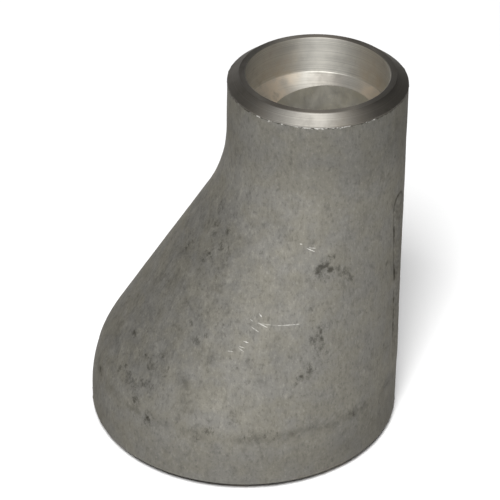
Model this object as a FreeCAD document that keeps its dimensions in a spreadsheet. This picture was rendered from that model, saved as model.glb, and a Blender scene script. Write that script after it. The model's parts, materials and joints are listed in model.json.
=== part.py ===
# Butt-weld eccentric reducer, 2 x 1 inch nominal, wall schedule 40.
#
# The large end stands on z = 0 with its axis on the Z axis. Every cross-section is a circle, and all the
# circles touch the same straight side, at x = +large_od / 2, so the small end's axis lies towards +X and
# the sloped side faces -X. The wall is rolled from plate, closed along the straight side by one weld seam
# of two runs, and pressed to shape, which thickens it towards the neck. All lengths are in millimetres.

import FreeCAD
import Part
import os
import Sketcher
from FreeCAD import Vector

PARTS_FOLDER = "parts"
ARC_STEPS = 4            # loft steps along each rounded stretch of the sloped side
STRAIGHT_STEPS = 3       # loft steps along the straight stretch between them

DRIVING_SIZES = [
    ("large_od", 60.3),            # outside diameter at the large end
    ("small_od", 33.4),            # outside diameter at the small end
    ("end_to_end", 76.2),          # height between the two weld faces
    ("large_tangent", 4.6),        # straight cylindrical length at the large end
    ("small_tangent", 11.3),       # straight cylindrical length at the small end
    ("shoulder_radius", 25.4),     # convex rounding of the sloped side above the large end
    ("slope_angle", 31.2),         # the sloped side's angle from the vertical, outside
    ("bore_slope_angle", 37.0),    # the same angle inside, steeper because the neck wall is thicker
    ("wall", 3.91),                # plate thickness, kept at the large end
    ("neck_bore_radius", 10.1),    # as-formed bore behind the small end's machined mouth
    ("neck_bore_shift", 0.65),     # how far that bore sits towards the straight side
    ("neck_bore_drift", 1.4),      # and how far forming has pushed it off centre towards +Y
    ("mouth_radius", 13.3),        # machined bore in the small end
    ("mouth_depth", 7.4),          # its cylindrical depth
    ("mouth_cone_angle", 45.0),    # slope of the machined step behind it, from the axis
    ("bevel_angle", 37.5),         # weld bevel, measured from the end face
    ("large_land", 1.6),           # flat ring left on the large end face inside the bevel
    ("small_land", 1.25),          # the same on the small end face
    ("seam_lean", 3.7),            # the seam's slant away from the vertical
    ("seam_foot", 0.2),            # the seam's offset towards +Y at the large end face
    ("root_gap", 1.2),             # gap filled by the root run
    ("root_face", 1.0),            # height of the square bottom of the groove
    ("groove_angle", 30.0),        # slope of each side of the V groove
    ("crown_height", 0.2),         # how far the cap run stands proud
    ("crown_inset", 0.15),         # the proud strip is this much narrower than the V on each side
    ("crown_start", 14.0),         # the cap run is ground flush below this height
    ("crown_end", 54.2),           # and above this one
    ("margin", 2.0),               # how far the cutting shapes run past the part
]

LARGE_RADIUS = "dims.large_od / 2"
SMALL_RADIUS = "dims.small_od / 2"
SMALL_AXIS = "(dims.large_od - dims.small_od) / 2"
LARGE_BORE = f"({LARGE_RADIUS} - dims.wall)"
BODY_START = "dims.large_tangent"
BODY_END = "(dims.end_to_end - dims.small_tangent)"
BODY_RISE = f"({BODY_END} - {BODY_START})"


def make_sheet(doc):
    """Put the driving sizes in a spreadsheet, one aliased cell each."""
    sheet = doc.addObject("Spreadsheet::Sheet", "dims")
    for row, (alias, value) in enumerate(DRIVING_SIZES, start=1):
        sheet.set(f"A{row}", alias)
        sheet.set(f"B{row}", str(value))
        sheet.setAlias(f"B{row}", alias)
    doc.recompute()


def new_sketch(body, name, role, shift):
    """Attach a sketch to one of the body's own planes, shifted along the plane's axes by expressions."""
    sketch = body.newObject("Sketcher::SketchObject", name)
    plane = next(item for item in body.Origin.OriginFeatures if item.Role == role)
    sketch.AttachmentSupport = (plane, [""])
    sketch.MapMode = "FlatFace"
    for axis, expression in shift.items():
        sketch.setExpression(f"AttachmentOffset.Base.{axis}", expression)
    return sketch


def bind(sketch, name, constraint, expression):
    """Add a constraint whose value follows an expression."""
    index = sketch.addConstraint(constraint)
    sketch.renameConstraint(index, name)
    sketch.setExpression(f"Constraints.{name}", expression)


def circle_sketch(body, name, height, centre_x, radius, centre_y="0"):
    """A horizontal circle at a height."""
    sketch = new_sketch(body, name, "XY_Plane", {"z": height})
    start_x, start_y, start_radius = (float(sketch.evalExpression(term))
                                      for term in (centre_x, centre_y, radius))
    circle = sketch.addGeometry(Part.Circle(Vector(start_x, start_y, 0), Vector(0, 0, 1), start_radius))
    bind(sketch, "centre_x", Sketcher.Constraint("DistanceX", -1, 1, circle, 3, start_x), centre_x)
    bind(sketch, "centre_y", Sketcher.Constraint("DistanceY", -1, 1, circle, 3, start_y), centre_y)
    bind(sketch, "radius", Sketcher.Constraint("Radius", circle, start_radius), radius)
    return sketch


def polygon_sketch(body, name, role, shift, corners):
    """A closed polygon whose corners are pairs of expressions in the sketch's own axes."""
    sketch = new_sketch(body, name, role, shift)
    points = [Vector(*(float(sketch.evalExpression(term)) for term in corner)) for corner in corners]
    count = len(points)
    for start in range(count):
        sketch.addGeometry(Part.LineSegment(points[start], points[(start + 1) % count]))
    for start in range(count):
        sketch.addConstraint(Sketcher.Constraint("Coincident", start, 2, (start + 1) % count, 1))
    for index, (corner, point) in enumerate(zip(corners, points)):
        across = Sketcher.Constraint("DistanceX", -1, 1, index, 1, point.x)
        bind(sketch, f"corner_{index}_x", across, corner[0])
        along = Sketcher.Constraint("DistanceY", -1, 1, index, 1, point.y)
        bind(sketch, f"corner_{index}_y", along, corner[1])
    return sketch


def slope_stations(start_left, end_left, start_radius, angle):
    """Heights and X positions of the sloped side, as expressions, from the large end to the small.

    The side leaves the vertical through an arc of start_radius, runs straight at the angle, and comes
    back to the vertical through a second arc, whose radius closes the outline.
    """
    run = f"({end_left} - ({start_left}))"
    end_radius = (f"(({BODY_RISE} * sin({angle}) - {run} * cos({angle})) / (1 - cos({angle}))"
                  f" - ({start_radius}))")
    stations = []
    for step in range(ARC_STEPS + 1):
        turn = f"({angle} * {step} / {ARC_STEPS})"
        stations.append((f"{BODY_START} + ({start_radius}) * sin({turn})",
                         f"{start_left} + ({start_radius}) * (1 - cos({turn}))"))
    arc_end = stations[-1]
    neck_start = (f"{BODY_END} - {end_radius} * sin({angle})",
                  f"{end_left} - {end_radius} * (1 - cos({angle}))")
    for step in range(1, STRAIGHT_STEPS):
        share = f"({step} / {STRAIGHT_STEPS})"
        stations.append(tuple(f"({low}) * (1 - {share}) + ({high}) * {share}"
                              for low, high in zip(arc_end, neck_start)))
    for step in range(ARC_STEPS, -1, -1):
        turn = f"({angle} * {step} / {ARC_STEPS})"
        stations.append((f"{BODY_END} - {end_radius} * sin({turn})",
                         f"{end_left} - {end_radius} * (1 - cos({turn}))"))
    return stations


def loft_sections(body, name, stations, right_side, growth="0", drift="0"):
    """One circle per station, spanning from the sloped side to the straight side.

    The circles grow by growth, and move off the plane of symmetry by drift times their share of the rise.
    """
    sections = []
    for index, (height, left) in enumerate(stations):
        right = right_side(height)
        centre_x = f"(({right}) + ({left})) / 2"
        centre_y = f"{drift} * {rise_share(height)}"
        radius = f"(({right}) - ({left})) / 2 + {growth}"
        sections.append(circle_sketch(body, f"{name}_{index}", height, centre_x, radius, centre_y))
    return sections


def rise_share(height):
    """0 where the body starts to taper and 1 where the neck's cylinder begins."""
    return f"((({height}) - {BODY_START}) / {BODY_RISE})"


def add_loft(body, kind, name, sections):
    loft = body.newObject(kind, name)
    loft.Profile = sections[0]
    loft.Sections = sections[1:]
    return loft


def add_extrusion(body, kind, name, sketch, length, lean=None):
    """A pad or pocket going up from its sketch, slanted towards -Y by the lean when one is given."""
    feature = body.newObject(kind, name)
    feature.Profile = sketch
    feature.setExpression("Length", length)
    if kind == "PartDesign::Pocket":
        feature.Reversed = True
    if lean:
        feature.UseCustomVector = True
        feature.AlongSketchNormal = True
        feature.Direction = Vector(0, 0, 1)
        feature.setExpression("Direction.y", f"-tan({lean})")
    return feature


def add_groove(body, name, sketch):
    """Turn a profile off around the sketch's own vertical axis."""
    groove = body.newObject("PartDesign::Groove", name)
    groove.Profile = sketch
    groove.ReferenceAxis = (sketch, ["V_Axis"])
    groove.Angle = 360
    return groove


def outer_stations():
    return slope_stations(f"-{LARGE_RADIUS}", "dims.large_od / 2 - dims.small_od",
                          "dims.shoulder_radius", "dims.slope_angle")


def outer_right(height):
    return LARGE_RADIUS


def inner_stations():
    neck_left = f"({SMALL_AXIS} + dims.neck_bore_shift - dims.neck_bore_radius)"
    return slope_stations(f"(dims.wall - {LARGE_RADIUS})", neck_left,
                          "dims.shoulder_radius - dims.wall", "dims.bore_slope_angle")


def inner_right(height):
    neck_right = f"({SMALL_AXIS} + dims.neck_bore_shift + dims.neck_bore_radius)"
    return f"{LARGE_BORE} + ({neck_right} - {LARGE_BORE}) * {rise_share(height)}"


def make_shell_blank(doc):
    """The pressed and machined wall before its seam groove is taken out."""
    body = doc.addObject("PartDesign::Body", "shell_blank")
    foot = circle_sketch(body, "foot_circle", "0", "0", LARGE_RADIUS)
    add_extrusion(body, "PartDesign::Pad", "foot_cylinder", foot, "dims.large_tangent")
    add_loft(body, "PartDesign::AdditiveLoft", "outer_loft",
             loft_sections(body, "outer_circle", outer_stations(), outer_right))
    neck = circle_sketch(body, "neck_circle", BODY_END, SMALL_AXIS, SMALL_RADIUS)
    add_extrusion(body, "PartDesign::Pad", "neck_cylinder", neck, "dims.small_tangent")

    foot_bore = circle_sketch(body, "foot_bore_circle", "0", "0", LARGE_BORE)
    add_extrusion(body, "PartDesign::Pocket", "foot_bore", foot_bore, "dims.large_tangent")
    add_loft(body, "PartDesign::SubtractiveLoft", "inner_loft",
             loft_sections(body, "inner_circle", inner_stations(), inner_right, drift="dims.neck_bore_drift"))
    neck_bore = circle_sketch(body, "neck_bore_circle", BODY_END, f"{SMALL_AXIS} + dims.neck_bore_shift",
                              "dims.neck_bore_radius", "dims.neck_bore_drift")
    add_extrusion(body, "PartDesign::Pocket", "neck_bore", neck_bore, "dims.small_tangent + dims.margin")

    large_cut = "(dims.wall - dims.large_land)"
    large_bevel = polygon_sketch(body, "large_bevel_profile", "XZ_Plane", {}, [
        (f"{LARGE_RADIUS} - {large_cut}", "0"),
        (f"{LARGE_RADIUS} + dims.margin", f"({large_cut} + dims.margin) * tan(dims.bevel_angle)"),
        (f"{LARGE_RADIUS} + dims.margin", "-dims.margin"),
        (f"{LARGE_RADIUS} - {large_cut}", "-dims.margin"),
    ])
    add_groove(body, "large_bevel", large_bevel)

    top_of_neck = {"x": SMALL_AXIS, "y": "dims.end_to_end"}
    small_cut = f"({SMALL_RADIUS} - dims.mouth_radius - dims.small_land)"
    small_bevel = polygon_sketch(body, "small_bevel_profile", "XZ_Plane", top_of_neck, [
        (f"{SMALL_RADIUS} - {small_cut}", "0"),
        (f"{SMALL_RADIUS} - {small_cut}", "dims.margin"),
        (f"{SMALL_RADIUS} + dims.margin", "dims.margin"),
        (f"{SMALL_RADIUS} + dims.margin", f"-({small_cut} + dims.margin) * tan(dims.bevel_angle)"),
    ])
    add_groove(body, "small_bevel", small_bevel)

    step_radius = "(dims.neck_bore_radius - dims.margin)"
    step_depth = f"(dims.mouth_depth + (dims.mouth_radius - {step_radius}) / tan(dims.mouth_cone_angle))"
    mouth = polygon_sketch(body, "mouth_profile", "XZ_Plane", top_of_neck, [
        ("0", "dims.margin"),
        ("0", f"-{step_depth}"),
        (step_radius, f"-{step_depth}"),
        ("dims.mouth_radius", "-dims.mouth_depth"),
        ("dims.mouth_radius", "dims.margin"),
    ])
    add_groove(body, "machined_mouth", mouth)
    return body


def make_seam_zone(doc, name, low_x, low_half, high_x, high_half, base, length):
    """A slanted bar along the seam: a trapezium in plan, from low_x inside the wall out to high_x."""
    body = doc.addObject("PartDesign::Body", name)
    shift = {"y": f"dims.seam_foot - ({base}) * tan(dims.seam_lean)", "z": base}
    plan = polygon_sketch(body, f"{name}_plan", "XY_Plane", shift, [
        (low_x, f"-{low_half}"),
        (high_x, f"-{high_half}"),
        (high_x, high_half),
        (low_x, low_half),
    ])
    add_extrusion(body, "PartDesign::Pad", f"{name}_bar", plan, length, lean="dims.seam_lean")
    return body


def make_crown_envelope(doc):
    """The outer surface grown by the crown height, for the stretch where the cap run stands proud."""
    body = doc.addObject("PartDesign::Body", "crown_envelope")
    sections = loft_sections(body, "crown_circle", outer_stations(), outer_right,
                             growth="dims.crown_height")
    add_loft(body, "PartDesign::AdditiveLoft", "crown_loft", sections)
    return body


def boolean(doc, kind, name, base, tool):
    result = doc.addObject(kind, name)
    result.Base = base
    result.Tool = tool
    return result


def make_parts(doc):
    """The formed shell and the two weld runs that close it, meeting face to face."""
    blank = make_shell_blank(doc)
    groove_floor = f"({LARGE_BORE} + dims.root_face)"
    half_gap = "(dims.root_gap / 2)"
    v_top = f"({LARGE_RADIUS} + dims.margin)"
    v_half = f"({half_gap} + ({v_top} - {groove_floor}) * tan(dims.groove_angle))"
    full_length = "dims.end_to_end + 2 * dims.margin"

    root_zone = make_seam_zone(doc, "root_zone", f"({LARGE_BORE} - 2 * dims.margin)", half_gap,
                               groove_floor, half_gap, "-dims.margin", full_length)
    cap_zone = make_seam_zone(doc, "cap_zone", groove_floor, half_gap,
                              v_top, v_half, "-dims.margin", full_length)
    crown_zone = make_seam_zone(doc, "crown_zone",
                                f"({groove_floor} + dims.crown_inset)", f"({half_gap} - dims.crown_inset)",
                                v_top, f"({v_half} - dims.crown_inset)",
                                "dims.crown_start", "dims.crown_end - dims.crown_start")

    open_wall = boolean(doc, "Part::Cut", "wall_without_cap_run", blank, cap_zone)
    shell = boolean(doc, "Part::Cut", "formed_shell", open_wall, root_zone)
    root_run = boolean(doc, "Part::Common", "seam_root_run", blank, root_zone)
    crown = boolean(doc, "Part::Common", "crown", make_crown_envelope(doc), crown_zone)
    crowned_blank = boolean(doc, "Part::Fuse", "crowned_blank", blank, crown)
    cap_run = boolean(doc, "Part::Common", "seam_cap_run", crowned_blank, cap_zone)
    return [shell, root_run, cap_run]


def check_document(doc, parts):
    """Stop if anything failed to build."""
    for item in doc.Objects:
        if "Invalid" in item.State or "Error" in item.State:
            raise RuntimeError(f"{item.Label} failed: {item.State}")
    for part in parts:
        if part.Shape.isNull() or not part.Shape.isValid() or len(part.Shape.Solids) != 1:
            raise RuntimeError(f"{part.Label} is not one valid solid")


def main():
    doc = FreeCAD.newDocument("eccentric_reducer")
    make_sheet(doc)
    parts = make_parts(doc)
    doc.recompute()
    check_document(doc, parts)
    os.makedirs(PARTS_FOLDER, exist_ok=True)
    for part in parts:
        part.Shape.exportStep(os.path.join(PARTS_FOLDER, f"{part.Label}.step"))
        box = part.Shape.BoundBox
        print(f"{part.Label}: {part.Shape.Volume:.0f} mm3, "
              f"x {box.XMin:.2f} to {box.XMax:.2f}, z {box.ZMin:.2f} to {box.ZMax:.2f}")


main()
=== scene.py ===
import json
import math
import random

import bpy
from mathutils import Matrix, Vector, noise


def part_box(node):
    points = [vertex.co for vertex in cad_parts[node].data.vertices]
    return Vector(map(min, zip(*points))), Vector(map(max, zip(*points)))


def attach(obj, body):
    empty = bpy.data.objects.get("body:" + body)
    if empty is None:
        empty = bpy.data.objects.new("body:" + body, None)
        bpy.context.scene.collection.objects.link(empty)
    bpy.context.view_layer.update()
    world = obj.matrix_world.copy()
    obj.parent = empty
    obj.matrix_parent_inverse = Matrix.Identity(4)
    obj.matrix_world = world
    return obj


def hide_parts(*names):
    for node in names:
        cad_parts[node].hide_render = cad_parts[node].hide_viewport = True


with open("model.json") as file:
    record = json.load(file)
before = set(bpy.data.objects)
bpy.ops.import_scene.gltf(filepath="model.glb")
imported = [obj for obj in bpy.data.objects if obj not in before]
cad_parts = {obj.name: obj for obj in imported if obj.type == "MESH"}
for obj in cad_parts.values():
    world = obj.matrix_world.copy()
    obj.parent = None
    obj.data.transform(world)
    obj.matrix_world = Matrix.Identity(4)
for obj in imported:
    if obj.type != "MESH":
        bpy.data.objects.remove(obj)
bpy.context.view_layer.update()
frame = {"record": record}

# Looks of a butt-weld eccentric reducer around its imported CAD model. Lengths are in millimetres here and
# turned into metres when a mesh is made. Angles round the wall are measured from the straight side, at +X.

MM = 0.001

# ---------------------------------------------------------------- sizes that the CAD model gives

MOUNTS = {mount["name"]: mount for mount in frame["record"]["mounts"]}
LARGE_RADIUS = MOUNTS["large_end_od"]["dims"]["r_mm"]
LARGE_BORE = MOUNTS["large_end_bore"]["dims"]["r_mm"]
SMALL_RADIUS = MOUNTS["small_end_od"]["dims"]["r_mm"]
MOUTH_RADIUS = MOUNTS["small_end_bore"]["dims"]["r_mm"]
MOUTH_DEPTH = MOUNTS["small_end_bore"]["dims"]["length_mm"]
NECK_AXIS = MOUNTS["small_end_od"]["pos_m"][0] / MM
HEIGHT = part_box("formed_shell")[1][2] / MM

# ---------------------------------------------------------------- sizes repeated from the CAD model

LARGE_TANGENT = 4.6
SMALL_TANGENT = 11.3
SHOULDER_RADIUS = 25.4
SLOPE_ANGLE = math.radians(31.2)
BORE_SLOPE_ANGLE = math.radians(37.0)
NECK_BORE_RADIUS = 10.1
NECK_BORE_SHIFT = 0.65
NECK_BORE_DRIFT = 1.4
MOUTH_CONE_SLOPE = 1.0
BEVEL_RISE = math.tan(math.radians(37.5))
LARGE_LAND = 1.6
SMALL_LAND = 1.25
SEAM_FOOT = 0.2
SEAM_SLANT = math.tan(math.radians(3.7))
ROOT_HALF_GAP = 0.6
ROOT_FACE = 1.0
GROOVE_SLOPE = math.tan(math.radians(30.0))
CROWN_START = 14.0
CROWN_END = 54.2

BODY_START = LARGE_TANGENT
BODY_END = HEIGHT - SMALL_TANGENT
WALL = LARGE_RADIUS - LARGE_BORE
GROOVE_FLOOR = LARGE_BORE + ROOT_FACE
SEAM_HALF_WIDTH = ROOT_HALF_GAP + (LARGE_RADIUS - GROOVE_FLOOR) * GROOVE_SLOPE
LARGE_LAND_EDGE = LARGE_BORE + LARGE_LAND
SMALL_LAND_EDGE = MOUTH_RADIUS + SMALL_LAND


def slope_side(start_left, end_left, start_radius, angle):
    """X of the sloped side at a height: two arcs joined by a straight line, upright at both ends."""
    rise = BODY_END - BODY_START
    run = end_left - start_left
    end_radius = (rise * math.sin(angle) - run * math.cos(angle)) / (1 - math.cos(angle)) - start_radius
    arc_top = BODY_START + start_radius * math.sin(angle)
    arc_left = start_left + start_radius * (1 - math.cos(angle))
    neck_foot = BODY_END - end_radius * math.sin(angle)

    def left(height):
        """X of the side at one height."""
        if height <= BODY_START:
            return start_left
        if height < arc_top:
            return start_left + start_radius - math.sqrt(start_radius ** 2 - (height - BODY_START) ** 2)
        if height < neck_foot:
            return arc_left + (height - arc_top) * math.tan(angle)
        if height < BODY_END:
            return end_left - end_radius + math.sqrt(end_radius ** 2 - (BODY_END - height) ** 2)
        return end_left
    return left


outer_left = slope_side(-LARGE_RADIUS, NECK_AXIS - SMALL_RADIUS, SHOULDER_RADIUS, SLOPE_ANGLE)
inner_left = slope_side(-LARGE_BORE, NECK_AXIS + NECK_BORE_SHIFT - NECK_BORE_RADIUS,
                        SHOULDER_RADIUS - WALL, BORE_SLOPE_ANGLE)


def outer_circle(height):
    """Centre and radius of the outer surface at a height."""
    left = outer_left(height)
    return Vector(((LARGE_RADIUS + left) / 2, 0, height)), (LARGE_RADIUS - left) / 2


def inner_circle(height):
    """Centre and radius of the as-formed bore at a height."""
    left = inner_left(height)
    neck_right = NECK_AXIS + NECK_BORE_SHIFT + NECK_BORE_RADIUS
    share = min(max((height - BODY_START) / (BODY_END - BODY_START), 0), 1)
    right = LARGE_BORE + (neck_right - LARGE_BORE) * share
    return Vector(((right + left) / 2, NECK_BORE_DRIFT * share, height)), (right - left) / 2


# ---------------------------------------------------------------- relief of the surfaces

def bumps(point, size, seed):
    """Smooth noise between about -1 and 1 whose lumps are about size millimetres across."""
    return noise.noise(point / size + Vector((seed, seed * 2.3, -seed)))


def smooth_step(value, low, high):
    """0 below low, 1 above high and a smooth rise between."""
    share = min(max((value - low) / (high - low), 0), 1)
    return share * share * (3 - 2 * share)


def seam_offset(point):
    """Distance across the seam from its centre line, on the straight side."""
    return point.y - (SEAM_FOOT - point.z * SEAM_SLANT)


def from_bead_edge(point):
    """Distance out from the edge of the weld cap, whose top end is rounded; negative on the cap."""
    if point.x < NECK_AXIS:
        return SEAM_HALF_WIDTH
    beyond = max(point.z - (CROWN_END - SEAM_HALF_WIDTH), 0)
    return math.hypot(seam_offset(point), beyond) - SEAM_HALF_WIDTH


def bead_ripple(point):
    """From -1 to 1: the freeze lines across the weld cap, curved like the back of the weld pool."""
    across = from_bead_edge(point) / SEAM_HALF_WIDTH + 1
    wander = 0.8 * bumps(Vector((0, 0, point.z)), 9.0, 5)
    return math.sin(2 * math.pi * (point.z - 1.6 * across ** 2 + 0.3 * wander) / 1.3)


def bead(point):
    """Height of the weld cap over the wall: a low crown with close ripples and slightly undercut toes."""
    across = from_bead_edge(point) / SEAM_HALF_WIDTH + 1
    wander = 0.8 * bumps(Vector((0, 0, point.z)), 9.0, 5)
    length = smooth_step(point.z + wander, CROWN_START - 2, CROWN_START + 4)
    if across >= 1.25 or length <= 0:
        return 0.0
    undercut = -0.07 * math.exp(-((across - 1.0) / 0.07) ** 2)
    if across >= 1:
        return undercut * length
    crown = 0.15 * (1 - across ** 2) ** 0.45
    return (crown + 0.035 * bead_ripple(point) * (1 - across ** 4) + undercut) * length


def outer_relief(point):
    """How far the as-formed outer surface stands off its true circle."""
    forming = 0.09 * bumps(point, 16.0, 1) + 0.035 * bumps(point, 5.0, 2)
    grit = 0.012 * bumps(point, 1.6, 3)
    mark_height = 12.6 + 0.9 * bumps(Vector((point.x, point.y, 0)), 11.0, 4)
    sizing = -0.10 * (1 - smooth_step(point.z, mark_height - 0.9, mark_height + 0.5))
    return forming + grit + sizing + bead(point)


def inner_relief(point):
    """How far the as-formed bore stands off its true circle."""
    return 0.10 * bumps(point, 9.0, 6) + 0.03 * bumps(point, 2.5, 7)


def burr(point):
    """The thin ragged lip that turning the bevel leaves along its outer edge."""
    return 0.22 * max(bumps(point, 1.3, 8) + 0.5 * bumps(point, 0.6, 9) - 0.1, 0)


# ---------------------------------------------------------------- the wall as one closed grid

BAND = SEAM_HALF_WIDTH + 0.9       # half the width of the finely divided band along the seam
BAND_COLUMNS = 36
ROUND_COLUMNS = 330


def column_angle(column, centre, radius):
    """Angle of a grid column: closely spaced beside the seam, evenly spaced round the rest."""
    seam = math.asin((SEAM_FOOT - centre.z * SEAM_SLANT - centre.y) / radius)
    half = BAND / radius
    if column < BAND_COLUMNS:
        return seam - half + 2 * half * column / BAND_COLUMNS
    share = (column - BAND_COLUMNS) / ROUND_COLUMNS
    return seam + half + (2 * math.pi - 2 * half) * share


def on_circle(centre, radius, column):
    """The point of a level circle on a grid column."""
    angle = column_angle(column, centre, radius)
    return centre + Vector((math.cos(angle), math.sin(angle), 0)) * radius


def with_relief(circle, relief, column):
    """A point of a circle, moved straight out from its centre by the relief there."""
    centre, radius = circle
    point = on_circle(centre, radius, column)
    return point + (point - centre) * (relief(point) / radius)


def bevel_point(share, column, face_centre, edge_radius, land_edge, inward):
    """A point of a weld bevel; share runs from 0 at the land to 1 at the ragged outer edge."""
    upright = Vector((0, 0, inward * BEVEL_RISE))
    edge = on_circle(face_centre + upright * (edge_radius - land_edge), edge_radius, column)
    reach = (edge_radius + outer_relief(edge) + burr(edge) - land_edge) * share
    return on_circle(face_centre + upright * reach, land_edge + reach, column)


def span(low, high, step):
    """Evenly spaced values from low to high, both included."""
    count = max(round(abs(high - low) / step), 1)
    return [low + (high - low) * index / count for index in range(count + 1)]


LARGE_FACE = Vector((0, 0, 0))
SMALL_FACE = Vector((NECK_AXIS, 0, HEIGHT))
BREAK = 0.13      # size of the broken edge between a land and its bore


def large_end_rings():
    """From the bore edge over the land and out along the bevel."""
    rings = [lambda column, radius=radius: on_circle(LARGE_FACE, radius, column)
             for radius in span(LARGE_BORE + BREAK, LARGE_LAND_EDGE, 0.5)]
    rings += [lambda column, share=share: bevel_point(share, column, LARGE_FACE, LARGE_RADIUS,
                                                      LARGE_LAND_EDGE, 1)
              for share in span(0.17, 1, 0.17)]
    return rings


def small_end_rings():
    """From the bevel's outer edge in over the land, then down the machined mouth."""
    rings = [lambda column, share=share: bevel_point(share, column, SMALL_FACE, SMALL_RADIUS,
                                                     SMALL_LAND_EDGE, -1)
             for share in span(1, 0.15, 0.17)]
    rings += [lambda column, radius=radius: on_circle(SMALL_FACE, radius, column)
              for radius in span(SMALL_LAND_EDGE, MOUTH_RADIUS + BREAK, 0.4)]
    mouth = [SMALL_FACE - Vector((0, 0, depth)) for depth in span(BREAK, MOUTH_DEPTH - BREAK, 0.6)]
    rings += [lambda column, centre=centre: on_circle(centre, MOUTH_RADIUS, column) for centre in mouth]
    return rings


def cone_point(share, column):
    """The machined step, which runs out where it meets the uneven as-formed bore."""
    rim = on_circle(SMALL_FACE, MOUTH_RADIUS - BREAK, column)
    foot = with_relief(inner_circle(BODY_END), inner_relief, column)
    point = rim.lerp(foot, share)
    from_axis = math.hypot(point.x - NECK_AXIS, point.y)
    point.z = HEIGHT - MOUTH_DEPTH - (MOUTH_RADIUS - from_axis) / MOUTH_CONE_SLOPE
    return point


def cone_rings():
    """Down the machined step, from the mouth to the as-formed bore."""
    return [lambda column, share=share: cone_point(share, column) for share in span(0, 1, 0.17)]


FORMED, MACHINED, BORE = range(3)


def wall_rings():
    """Every ring of the wall's section in order, each with the finish of the faces that lead up to it."""
    bevel_top = (LARGE_RADIUS - LARGE_LAND_EDGE) * BEVEL_RISE
    bevel_foot = HEIGHT - (SMALL_RADIUS - SMALL_LAND_EDGE) * BEVEL_RISE
    outer = [lambda column, circle=outer_circle(height): with_relief(circle, outer_relief, column)
             for height in span(bevel_top + 0.25, bevel_foot - 0.25, 0.38)]
    inner = [lambda column, circle=inner_circle(height): with_relief(circle, inner_relief, column)
             for height in span(BODY_END - 2.0, BREAK, 0.75)]
    sections = [(large_end_rings(), MACHINED), (outer, FORMED), (small_end_rings(), MACHINED),
                (cone_rings(), MACHINED), (inner, BORE)]
    return [(ring, finish) for section, finish in sections for ring in section]


def full_wall_mesh():
    """The whole wall, seam included, as a closed ring of rings."""
    rings = wall_rings()
    columns = BAND_COLUMNS + ROUND_COLUMNS
    points = [ring(column) * MM for ring, finish in rings for column in range(columns)]
    faces = []
    finishes = []
    for index in range(len(rings)):
        following = (index + 1) % len(rings)
        for column in range(columns):
            beside = (column + 1) % columns
            faces.append((index * columns + column, index * columns + beside,
                          following * columns + beside, following * columns + column))
            finishes.append(rings[following][1])
    mesh = bpy.data.meshes.new("full_wall")
    mesh.from_pydata([tuple(point) for point in points], [], faces)
    mesh.polygons.foreach_set("material_index", finishes)
    mesh.update()
    return mesh


# ---------------------------------------------------------------- the three pieces cut from the wall

PAST = 4.0        # how far the cutting bars run past the wall


def seam_bar(name, low_x, low_half, high_x, high_half):
    """A slanted bar along the seam, a trapezium in plan, as long as the wall and a bit more."""
    plan = [(low_x, -low_half), (high_x, -high_half), (high_x, high_half), (low_x, low_half)]
    points = []
    for height in (-PAST, HEIGHT + PAST):
        centre = SEAM_FOOT - height * SEAM_SLANT
        points += [(x * MM, (centre + y) * MM, height * MM) for x, y in plan]
    sides = [(i, (i + 1) % 4, (i + 1) % 4 + 4, i + 4) for i in range(4)]
    mesh = bpy.data.meshes.new(name)
    mesh.from_pydata(points, [], [(3, 2, 1, 0), (4, 5, 6, 7)] + sides)
    mesh.update()
    return bpy.data.objects.new(name, mesh)


def cut_from_wall(name, steps):
    """A piece of the full wall after a list of (operation, bar) steps."""
    piece = bpy.data.objects.new(name, full_wall.copy())
    bpy.context.scene.collection.objects.link(piece)
    for operation, bar in steps:
        modifier = piece.modifiers.new(bar.name, "BOOLEAN")
        modifier.operation = operation
        modifier.object = bar
        modifier.solver = "MANIFOLD"
    depsgraph = bpy.context.evaluated_depsgraph_get()
    result = bpy.data.meshes.new_from_object(piece.evaluated_get(depsgraph))
    piece.modifiers.clear()
    piece.data = result
    result.name = name
    return piece


full_wall = full_wall_mesh()
v_top = LARGE_RADIUS + PAST
v_top_half = ROOT_HALF_GAP + (v_top - GROOVE_FLOOR) * GROOVE_SLOPE
cap_bar = seam_bar("cap_bar", GROOVE_FLOOR, ROOT_HALF_GAP, v_top, v_top_half)
root_bar = seam_bar("root_bar", LARGE_BORE - PAST, ROOT_HALF_GAP, GROOVE_FLOOR, ROOT_HALF_GAP)
for bar in (cap_bar, root_bar):
    bpy.context.scene.collection.objects.link(bar)
shell = cut_from_wall("rolled_wall", [("DIFFERENCE", cap_bar), ("DIFFERENCE", root_bar)])
cap_run = cut_from_wall("cap_bead", [("INTERSECT", cap_bar)])
root_run = cut_from_wall("root_bead", [("INTERSECT", root_bar)])
for bar in (cap_bar, root_bar):
    bpy.data.objects.remove(bar)
bpy.data.meshes.remove(full_wall)


# ---------------------------------------------------------------- marks on the outside

MARK_SEED = 7

# Patches of dark blotches: angle in degrees, height, spread round and up the wall, count, strength.
STAIN_PATCHES = [
    (-130, 20, 5, 4, 12, 0.9),       # low on the sloping side
    (-130, 45, 5, 4, 9, 0.7),        # high on the sloping side
    (-110, 30, 5, 6, 6, 0.5),        # between the slope and the front
    (-65, 45, 2.5, 1, 5, 1.1),       # front, towards the seam
    (-60, 30, 1.5, 4, 6, 0.9),       # below the last patch
    (-90, 12.5, 20, 0.5, 7, 0.6),    # along the sizing line
    (90, 35, 25, 15, 16, 0.5),       # thinly over the back
]

# Groups of short bright scratches: angle in degrees, height, count.
SCRATCH_GROUPS = [(-90, 35, 4), (-95, 30, 4), (-80, 50, 3), (45, 50, 2), (125, 30, 3), (170, 25, 2)]
LONG_SCRATCH_HEIGHT = 35
LONG_SCRATCH_ANGLES = (-90, -80, -70)


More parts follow.
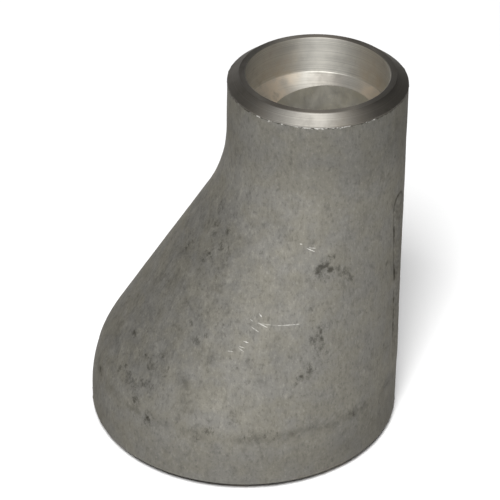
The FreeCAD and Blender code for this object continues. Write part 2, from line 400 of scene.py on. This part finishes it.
def scatter_stains():
    """Blotches strewn over each patch: angle, height, half length, half width, tilt, strength."""
    chance = random.Random(MARK_SEED)
    stains = []
    for angle, height, spread_round, spread_up, count, strength in STAIN_PATCHES:
        degrees = math.degrees(spread_round / LARGE_RADIUS)
        for _ in range(count):
            stains.append((angle + chance.gauss(0, degrees), height + chance.gauss(0, spread_up),
                           chance.uniform(1.0, 2.6), chance.uniform(0.6, 1.1), chance.uniform(-70, 70),
                           strength * chance.uniform(0.7, 1.2)))
    return stains


def scatter_scratches():
    """Bright scratches: start angle and height, end angle and height, width, strength."""
    chance = random.Random(MARK_SEED)
    start, middle, end = LONG_SCRATCH_ANGLES
    scratches = [(start, LONG_SCRATCH_HEIGHT, middle, LONG_SCRATCH_HEIGHT - 0.2, 0.1, 0.6),
                 (middle, LONG_SCRATCH_HEIGHT - 0.2, end, LONG_SCRATCH_HEIGHT, 0.12, 0.9)]
    for angle, height, count in SCRATCH_GROUPS:
        for _ in range(count):
            from_angle = angle + chance.uniform(-4, 4)
            from_height = height + chance.uniform(-1.5, 2.5)
            scratches.append((from_angle, from_height, from_angle + chance.uniform(1.5, 5),
                              from_height + chance.uniform(-0.8, 0.3), chance.uniform(0.09, 0.15),
                              chance.uniform(0.4, 0.9)))
    return scratches


STAINS = scatter_stains()
SCRATCHES = scatter_scratches()


def stain_strength(angle, height, radius):
    """How dark the blotches make a point of the outer surface."""
    total = 0.0
    for at, level, half_length, half_width, tilt, strength in STAINS:
        across = math.radians((math.degrees(angle) - at + 180) % 360 - 180) * radius
        up = height - level
        turn = math.radians(tilt)
        along = (across * math.cos(turn) + up * math.sin(turn)) / half_length
        beside = (up * math.cos(turn) - across * math.sin(turn)) / half_width
        total = max(total, strength * math.exp(-along * along - beside * beside))
    return total


def sizing_line(point):
    """The faint uneven line that the sizing die left round the large end."""
    centre = 12.4 + 0.9 * bumps(Vector((point.x, point.y, 0)), 11.0, 4)
    patchy = 0.45 + 1.0 * bumps(Vector((point.x, point.y, 0)), 5.0, 12)
    return max(patchy, 0.05) * math.exp(-((point.z - centre) / 1.1) ** 2)


def toe_line_and_ripple_shade(point):
    """Dark traces in the undercut round the weld cap, and fainter painted shade in the valleys between its
    ripples.
    """
    if not CROWN_START < point.z < CROWN_END + 1:
        return 0.0
    gap = from_bead_edge(point)
    fade = smooth_step(point.z, CROWN_START, CROWN_START + 8)
    uneven = 1.0 + 1.2 * bumps(Vector((0, point.y, point.z)), 3.0, 13)
    toe = 1.7 * uneven * math.exp(-(gap / 0.28) ** 2)
    # Painted shade: darker in the valleys between the weld ripples.
    if gap < -0.3:
        toe = max(toe, 0.35 * uneven * (1 - bead_ripple(point)))
    return fade * toe


def paint_marks(piece):
    """Store the blotches, the sizing line, the weld toes and the painted shade between the weld ripples on
    the piece's points.
    """
    mesh = piece.data
    stain = mesh.attributes.new("stain", "FLOAT", "POINT")
    lines = mesh.attributes.new("lines", "FLOAT", "POINT")
    stains = []
    darks = []
    for vertex in mesh.vertices:
        point = vertex.co / MM
        centre, radius = outer_circle(point.z)
        angle = math.atan2(point.y, point.x - centre.x)
        stains.append(stain_strength(angle, point.z, radius))
        darks.append(max(sizing_line(point), toe_line_and_ripple_shade(point)))
    stain.data.foreach_set("value", stains)
    lines.data.foreach_set("value", darks)


# ---------------------------------------------------------------- shader building blocks

def add(tree, kind, inputs=None, **settings):
    """A node with its settings made and its sockets set or linked."""
    node = tree.nodes.new(kind)
    for name, value in settings.items():
        setattr(node, name, value)
    for socket, value in (inputs or {}).items():
        if isinstance(value, bpy.types.NodeSocket):
            tree.links.new(value, node.inputs[socket])
        else:
            node.inputs[socket].default_value = value
    return node


def calc(tree, operation, first, second=0.0, third=0.0, clamp=False):
    """The result of one sum on numbers or sockets."""
    return add(tree, "ShaderNodeMath", {0: first, 1: second, 2: third},
               operation=operation, use_clamp=clamp).outputs[0]


def vector_calc(tree, operation, first, second):
    """The vector result, or the number for operations that give one."""
    node = add(tree, "ShaderNodeVectorMath", {0: first, 1: second}, operation=operation)
    return node.outputs["Value" if operation in ("LENGTH", "DOT_PRODUCT", "DISTANCE") else "Vector"]


def millimetres(tree):
    """Position on the object in millimetres."""
    place = add(tree, "ShaderNodeTexCoord").outputs["Object"]
    scaled = add(tree, "ShaderNodeVectorMath", {0: place, "Scale": 1 / MM}, operation="SCALE")
    return scaled.outputs["Vector"]


def speckle(tree, place, size, detail=3.0, roughness=0.5, distortion=0.0):
    """Noise from 0 to 1 with lumps about size millimetres across."""
    return add(tree, "ShaderNodeTexNoise",
               {"Vector": place, "Scale": 1 / size, "Detail": detail, "Roughness": roughness,
                "Distortion": distortion}).outputs["Fac"]


def remap(tree, value, low, high, to_low=0.0, to_high=1.0):
    """A smooth step of value from to_low at low to to_high at high."""
    return add(tree, "ShaderNodeMapRange",
               {"Value": value, "From Min": low, "From Max": high, "To Min": to_low, "To Max": to_high},
               interpolation_type="SMOOTHSTEP").outputs["Result"]


def mix(tree, share, first, second):
    """A colour between first and second."""
    node = add(tree, "ShaderNodeMix", data_type="RGBA")
    factor, _, _, _, _, _, low, high = node.inputs[:8]
    for socket, value in ((factor, share), (low, first), (high, second)):
        if isinstance(value, bpy.types.NodeSocket):
            tree.links.new(value, socket)
        else:
            socket.default_value = value
    return next(output for output in node.outputs if output.type == "RGBA")


def grey(level, warmth=0.0):
    """A grey, warmer for positive warmth and cooler for negative."""
    return (level * (1 + 0.6 * warmth), level, level * (1 - 1.8 * warmth), 1)


def attribute(tree, name):
    """The value painted on the points under a name."""
    return add(tree, "ShaderNodeAttribute", attribute_name=name).outputs["Fac"]


def new_material(name):
    """A material with its node tree and its main shader."""
    material = bpy.data.materials.new(name)
    material.use_nodes = True
    return material, material.node_tree, material.node_tree.nodes["Principled BSDF"]


def finish_shader(tree, shader, colour, roughness, height, bump_distance):
    """Connect colour, roughness and bump. Bump distance is in millimetres."""
    tree.links.new(colour, shader.inputs["Base Color"])
    tree.links.new(roughness, shader.inputs["Roughness"])
    bump = add(tree, "ShaderNodeBump", {"Height": height, "Distance": bump_distance * MM, "Strength": 1.0})
    tree.links.new(bump.outputs["Normal"], shader.inputs["Normal"])


# ---------------------------------------------------------------- materials

def wall_point(angle, height):
    """A point on the outer wall from its angle in degrees and its height."""
    centre, radius = outer_circle(height)
    turn = math.radians(angle)
    return centre + Vector((math.cos(turn), math.sin(turn), 0)) * radius


def scratch_mask(tree, place):
    """1 along each bright scratch, broken up by fine noise, and 0 elsewhere."""
    total = 0.0
    for start_angle, start_height, end_angle, end_height, width, strength in SCRATCHES:
        start = wall_point(start_angle, start_height)
        line = wall_point(end_angle, end_height) - start
        offset = vector_calc(tree, "SUBTRACT", place, tuple(start))
        share = calc(tree, "DIVIDE", vector_calc(tree, "DOT_PRODUCT", offset, tuple(line)),
                     line.length_squared, clamp=True)
        nearest = add(tree, "ShaderNodeVectorMath", {0: tuple(line), "Scale": share},
                      operation="SCALE").outputs["Vector"]
        gap = vector_calc(tree, "DISTANCE", offset, nearest)
        taper = calc(tree, "MULTIPLY", calc(tree, "PINGPONG", share, 0.5), 2 * width)
        reach = calc(tree, "ADD", taper, 0.35 * width)
        mask = calc(tree, "SUBTRACT", 1.0, calc(tree, "DIVIDE", gap, reach), clamp=True)
        total = calc(tree, "MAXIMUM", total, calc(tree, "MULTIPLY", mask, strength))
    broken = remap(tree, speckle(tree, place, 0.5, 2.0), 0.30, 0.55, 0.25, 1.0)
    return calc(tree, "MULTIPLY", total, broken)


def painted_rim_band(tree, place, height, low, high):
    """1 on a ragged band between two heights, high being the bevel's edge; the band takes a painted shadow
    line and painted glints.
    """
    jagged = speckle(tree, place, 0.7, 3.0, 0.6)
    level = calc(tree, "ADD", height, calc(tree, "MULTIPLY", jagged, 1.1))
    return remap(tree, level, low + 0.55, high + 0.55)


def formed_steel(name, level, warmth, contrast, with_marks):
    """Pickled, as-formed steel: fine grit, soft cloudy tone, small dark specks and blotches; with marks,
    also painted shade towards the sides, neck and foot, and a painted shadow line with painted glints under
    the small end's bevel.
    """
    material, tree, shader = new_material(name)
    place = millimetres(tree)
    axes = add(tree, "ShaderNodeSeparateXYZ", {"Vector": place}).outputs
    drawn = vector_calc(tree, "MULTIPLY", place, (1, 1, 0.6))
    cloud = speckle(tree, place, 9.0, 3.0)
    hue = speckle(tree, vector_calc(tree, "ADD", place, (40, 0, 0)), 5.0, 3.0, 0.6)
    patch = speckle(tree, drawn, 2.4, 5.0, 0.66)
    mottle = speckle(tree, vector_calc(tree, "ADD", drawn, (0, 40, 0)), 1.25, 4.0, 0.7)
    grit = speckle(tree, drawn, 0.5, 4.0, 0.7)
    colour = mix(tree, remap(tree, hue, 0.35, 0.65), grey(level, warmth - 0.018),
                 grey(level, warmth + 0.018))
    colour = mix(tree, remap(tree, cloud, 0.35, 0.65, 0.0, 0.12), colour, grey(level * 1.6, warmth))
    for layer, dark_share, light_share in ((patch, 0.34, 0.30), (mottle, 0.36, 0.34), (grit, 0.5, 0.5)):
        colour = mix(tree, remap(tree, layer, 0.49, 0.27, 0.0, dark_share * contrast), colour,
                     grey(level * 0.42, warmth))
        colour = mix(tree, remap(tree, layer, 0.53, 0.76, 0.0, light_share * contrast), colour,
                     grey(level * 1.7, warmth))
    specks = calc(tree, "MULTIPLY", remap(tree, speckle(tree, place, 1.0, 3.0, 0.6), 0.59, 0.70),
                  remap(tree, cloud, 0.42, 0.60))
    dark = calc(tree, "MULTIPLY", specks, 0.25 * contrast)
    roughness = remap(tree, patch, 0.2, 0.8, 0.5, 0.66)
    if with_marks:
        stain = attribute(tree, "stain")
        ragged = speckle(tree, place, 0.95, 4.0, 0.7)
        reach = calc(tree, "ADD", calc(tree, "MULTIPLY", stain, 1.1), calc(tree, "MULTIPLY", ragged, 2.2))
        stains = calc(tree, "MULTIPLY", remap(tree, reach, 1.6, 2.45), remap(tree, stain, 0.03, 0.35))
        veins = calc(tree, "MULTIPLY", remap(tree, speckle(tree, drawn, 1.7, 5.0, 0.8), 0.52, 0.34),
                     remap(tree, stain, 0.05, 0.28, 0.0, 0.6))
        stains = calc(tree, "MAXIMUM", calc(tree, "MULTIPLY", stains, 0.78), veins)
        # lines holds the sizing line, the weld toes and the painted shade between the weld ripples.
        lines = calc(tree, "MULTIPLY", attribute(tree, "lines"),
                     remap(tree, speckle(tree, place, 1.4, 3.0, 0.6), 0.30, 0.65, 0.25, 1.0))
        marks = calc(tree, "ADD", stains, calc(tree, "MULTIPLY", lines, 0.6))
        dark = calc(tree, "MAXIMUM", dark, marks, clamp=True)
        # Painted shade: the colour darkens towards both sides of the part, where its form turns away from
        # the light, and also towards the neck top and towards the foot.
        shade = calc(tree, "ADD", remap(tree, axes["Z"], 56.0, 67.0, 0.0, 0.26),
                     remap(tree, axes["Z"], 14.0, 5.0, 0.0, 0.24))
        shade = calc(tree, "ADD", shade, remap(tree, axes["X"], 12.0, 29.0, 0.0, 0.2))
        shade = calc(tree, "ADD", shade, remap(tree, axes["X"], -18.0, -30.0, 0.0, 0.14))
        colour = mix(tree, shade, colour, grey(level * 0.3, warmth))
    colour = mix(tree, dark, colour, grey(level * 0.2, warmth + 0.05))
    relief = calc(tree, "ADD", calc(tree, "MULTIPLY", grit, 0.8), calc(tree, "MULTIPLY", patch, 0.6))
    relief = calc(tree, "SUBTRACT", relief, calc(tree, "MULTIPLY", dark, 0.4))
    if with_marks:
        bevel_foot = HEIGHT - (SMALL_RADIUS - SMALL_LAND_EDGE) * BEVEL_RISE
        # Painted shadow and highlight under the small end's bevel: a ragged near-black painted shadow line,
        # broken by painted glints that come more often towards the front (-Y), the side the light comes
        # from.
        rim = painted_rim_band(tree, place, axes["Z"], bevel_foot - 0.55, bevel_foot - 0.2)
        front_glint = calc(tree, "SUBTRACT", speckle(tree, place, 1.6, 3.0, 0.6),
                    calc(tree, "MULTIPLY", axes["Y"], 0.026))
        front_glint = remap(tree, front_glint, 0.86, 0.92)
        colour = mix(tree, rim, colour, mix(tree, front_glint, grey(0.05, 0.1), grey(0.6, 0.03)))
        bright = scratch_mask(tree, place)
        colour = mix(tree, bright, colour, grey(0.95, 0.03))
        roughness = calc(tree, "SUBTRACT", roughness, calc(tree, "MULTIPLY", bright, 0.2))
    shader.inputs["Metallic"].default_value = 0.88
    shader.inputs["Specular IOR Level"].default_value = 0.25
    shader.inputs["Specular Tint"].default_value = (0.35, 0.34, 0.33, 1)
    finish_shader(tree, shader, colour, roughness, relief, 0.06)
    return material


def machined_steel(name):
    """Freshly turned steel: concentric tool marks on a bright ground, with small smudges, a painted warm
    reflection on the bore's sides and painted shade on the machined faces.
    """
    material, tree, shader = new_material(name)
    place = millimetres(tree)
    flat = vector_calc(tree, "MULTIPLY", vector_calc(tree, "SUBTRACT", place, (NECK_AXIS, 0, 0)), (1, 1, 0))
    radius = vector_calc(tree, "LENGTH", flat, (0, 0, 0))
    height = add(tree, "ShaderNodeSeparateXYZ", {"Vector": place}).outputs["Z"]
    ring_place = add(tree, "ShaderNodeCombineXYZ", {"X": radius, "Y": 0.0, "Z": height}).outputs["Vector"]
    rings = speckle(tree, ring_place, 0.16, 4.0, 0.7)
    feed = speckle(tree, ring_place, 0.7, 2.0, 0.5)
    smudge = speckle(tree, place, 2.6, 4.0, 0.6)
    side = calc(tree, "ABSOLUTE", calc(tree, "DIVIDE", add(
        tree, "ShaderNodeSeparateXYZ", {"Vector": flat}).outputs["X"], MOUTH_RADIUS))
    on_wall = remap(tree, height, HEIGHT - MOUTH_DEPTH - 0.1, HEIGHT - MOUTH_DEPTH)
    # Painted reflection: a warm brown tint on the left and right sides of the bore, weaker towards the top
    # of the mouth and varied by the smudge noise.
    side_reflection = calc(tree, "MULTIPLY", remap(tree, side, 0.3, 0.6), remap(tree, side, 1.0, 0.75, 0.4, 1.0))
    side_reflection = calc(tree, "MULTIPLY", side_reflection, remap(tree, height, HEIGHT, HEIGHT - 7.0, 0.35, 1.0))
    side_reflection = calc(tree, "MULTIPLY", side_reflection, remap(tree, smudge, 0.35, 0.65, 0.4, 1.0))
    colour = mix(tree, remap(tree, rings, 0.3, 0.7), grey(0.35, 0.04), grey(0.55, 0.05))
    tea = mix(tree, on_wall, (0.64, 0.56, 0.46, 1), (0.45, 0.40, 0.325, 1))
    colour = mix(tree, side_reflection, colour, tea)
    colour = mix(tree, remap(tree, smudge, 0.56, 0.78, 0.0, 0.5), colour, grey(0.28, 0.06))
    # Painted shade on the machined faces: the bevels and lands darken by half or more, most towards the
    # left and right sides, and the step darkens along its front and back, where its highlight falls; the
    # mouth wall and the step's sides are kept clear.
    inside = remap(tree, radius, MOUTH_RADIUS + 0.2, MOUTH_RADIUS + 0.1)
    unshaded = calc(tree, "MULTIPLY", inside, calc(tree, "MAXIMUM", on_wall, remap(tree, side, 0.1, 0.55)))
    side_shade = calc(tree, "ADD", remap(tree, side, 0.3, 1.1, 0.5, 0.8), calc(tree, "MULTIPLY", inside, 0.15))
    machined_shade = calc(tree, "MULTIPLY", calc(tree, "SUBTRACT", 1.0, unshaded), side_shade)
    # Painted shade on both lands, strongest at their front and back.
    land = calc(tree, "MAXIMUM", remap(tree, height, HEIGHT - 0.16, HEIGHT - 0.04),
                remap(tree, height, 0.16, 0.04))
    land = calc(tree, "MULTIPLY", land, remap(tree, side, 0.85, 0.3, 0.5, 0.88))
    machined_shade = calc(tree, "MAXIMUM", machined_shade, land)
    colour = mix(tree, machined_shade, colour, (0.06, 0.05, 0.04, 1))
    roughness = calc(tree, "ADD", remap(tree, smudge, 0.3, 0.7, 0.60, 0.68),
                     remap(tree, radius, MOUTH_RADIUS + 1, MOUTH_RADIUS + 2, 0.0, 0.06))
    marks = calc(tree, "ADD", calc(tree, "MULTIPLY", rings, 0.7), calc(tree, "MULTIPLY", feed, 0.5))
    shader.inputs["Metallic"].default_value = 1.0
    shader.inputs["Anisotropic"].default_value = 0.6
    shader.inputs["Anisotropic Rotation"].default_value = 0.25
    tree.links.new(vector_calc(tree, "CROSS_PRODUCT", (0, 0, 1), flat), shader.inputs["Tangent"])
    finish_shader(tree, shader, colour, roughness, marks, 0.012)
    return material


outside = formed_steel("pickled_steel", 0.205, 0.065, 1.0, True)
machined = machined_steel("turned_steel")
bore = formed_steel("bore_steel", 0.42, 0.08, 0.2, False)
weld = formed_steel("weld_steel", 0.20, 0.065, 1.0, True)

for piece, first in ((shell, outside), (cap_run, weld), (root_run, weld)):
    paint_marks(piece)
    finishes = [face.material_index for face in piece.data.polygons]
    piece.data.materials.clear()
    for material in (first, machined, bore):
        piece.data.materials.append(material)
    piece.data.polygons.foreach_set("material_index", finishes)
    piece.data.polygons.foreach_set("use_smooth", [True] * len(piece.data.polygons))
    piece.data.set_sharp_from_angle(angle=math.radians(24))
    piece.data.update()

for piece, node, slot in ((shell, "formed_shell", "formed_shell"), (cap_run, "seam_cap_run", "weld_metal"),
                          (root_run, "seam_root_run", "weld_metal")):
    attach(piece, "root")
    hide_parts(node)


# ---------------------------------------------------------------- floor, light and camera

def make_floor():
    """A plain pale floor that the part stands on."""
    half = 3.0
    mesh = bpy.data.meshes.new("floor")
    mesh.from_pydata([(-half, -half, 0), (half, -half, 0), (half, half, 0), (-half, half, 0)], [],
                     [(0, 1, 2, 3)])
    floor = bpy.data.objects.new("floor", mesh)
    bpy.context.scene.collection.objects.link(floor)
    material, tree, shader = new_material("pale_floor")
    shader.inputs["Base Color"].default_value = (0.72, 0.72, 0.72, 1)
    shader.inputs["Roughness"].default_value = 0.8
    mesh.materials.append(material)


def add_light(name, place, target, size, power):
    """A square soft light at place, in metres, facing the target."""
    data = bpy.data.lights.new(name, "AREA")
    data.size = size
    data.energy = power
    light = bpy.data.objects.new(name, data)
    bpy.context.scene.collection.objects.link(light)
    away = Vector(place) - Vector(target)
    light.matrix_world = Matrix.Translation(place) @ away.to_track_quat("Z", "Y").to_matrix().to_4x4()


def add_camera():
    """The camera, in front and above, turned a little towards the straight side."""
    azimuth = math.radians(11.47)
    elevation = math.radians(33.51)
    roll = math.radians(0.46)
    distance = 513.0 * MM
    target = Vector((1.01, 0, 35.43)) * MM
    back = Vector((math.sin(azimuth) * math.cos(elevation), -math.cos(azimuth) * math.cos(elevation),
                   math.sin(elevation)))
    right = Vector((math.cos(azimuth), math.sin(azimuth), 0))
    up = back.cross(right)
    tilted_right = right * math.cos(roll) + up * math.sin(roll)
    tilted_up = up * math.cos(roll) - right * math.sin(roll)
    turn = Matrix((tilted_right, tilted_up, back)).transposed().to_4x4()
    data = bpy.data.cameras.new("camera")
    data.lens = 191.9
    data.sensor_width = 36.0
    data.clip_start = 0.01
    camera = bpy.data.objects.new("camera", data)
    bpy.context.scene.collection.objects.link(camera)
    camera.matrix_world = Matrix.Translation(target + back * distance) @ turn
    bpy.context.scene.camera = camera


def light_scene():
    """A soft light in front and above, a weak one behind, and a dim surround."""
    centre = (0, 0, 0.04)
    add_light("key", (0.136, -1.196, 1.637), centre, 0.7, 80.0)
    add_light("fill", (-0.8, 1.3, 0.5), centre, 1.2, 5.0)
    world = bpy.data.worlds.new("studio")
    world.use_nodes = True
    background = world.node_tree.nodes["Background"]
    background.inputs["Color"].default_value = (1, 1, 1, 1)
    background.inputs["Strength"].default_value = 0.07
    bpy.context.scene.world = world
    bpy.context.scene.view_settings.view_transform = "Standard"


make_floor()
light_scene()
add_camera()
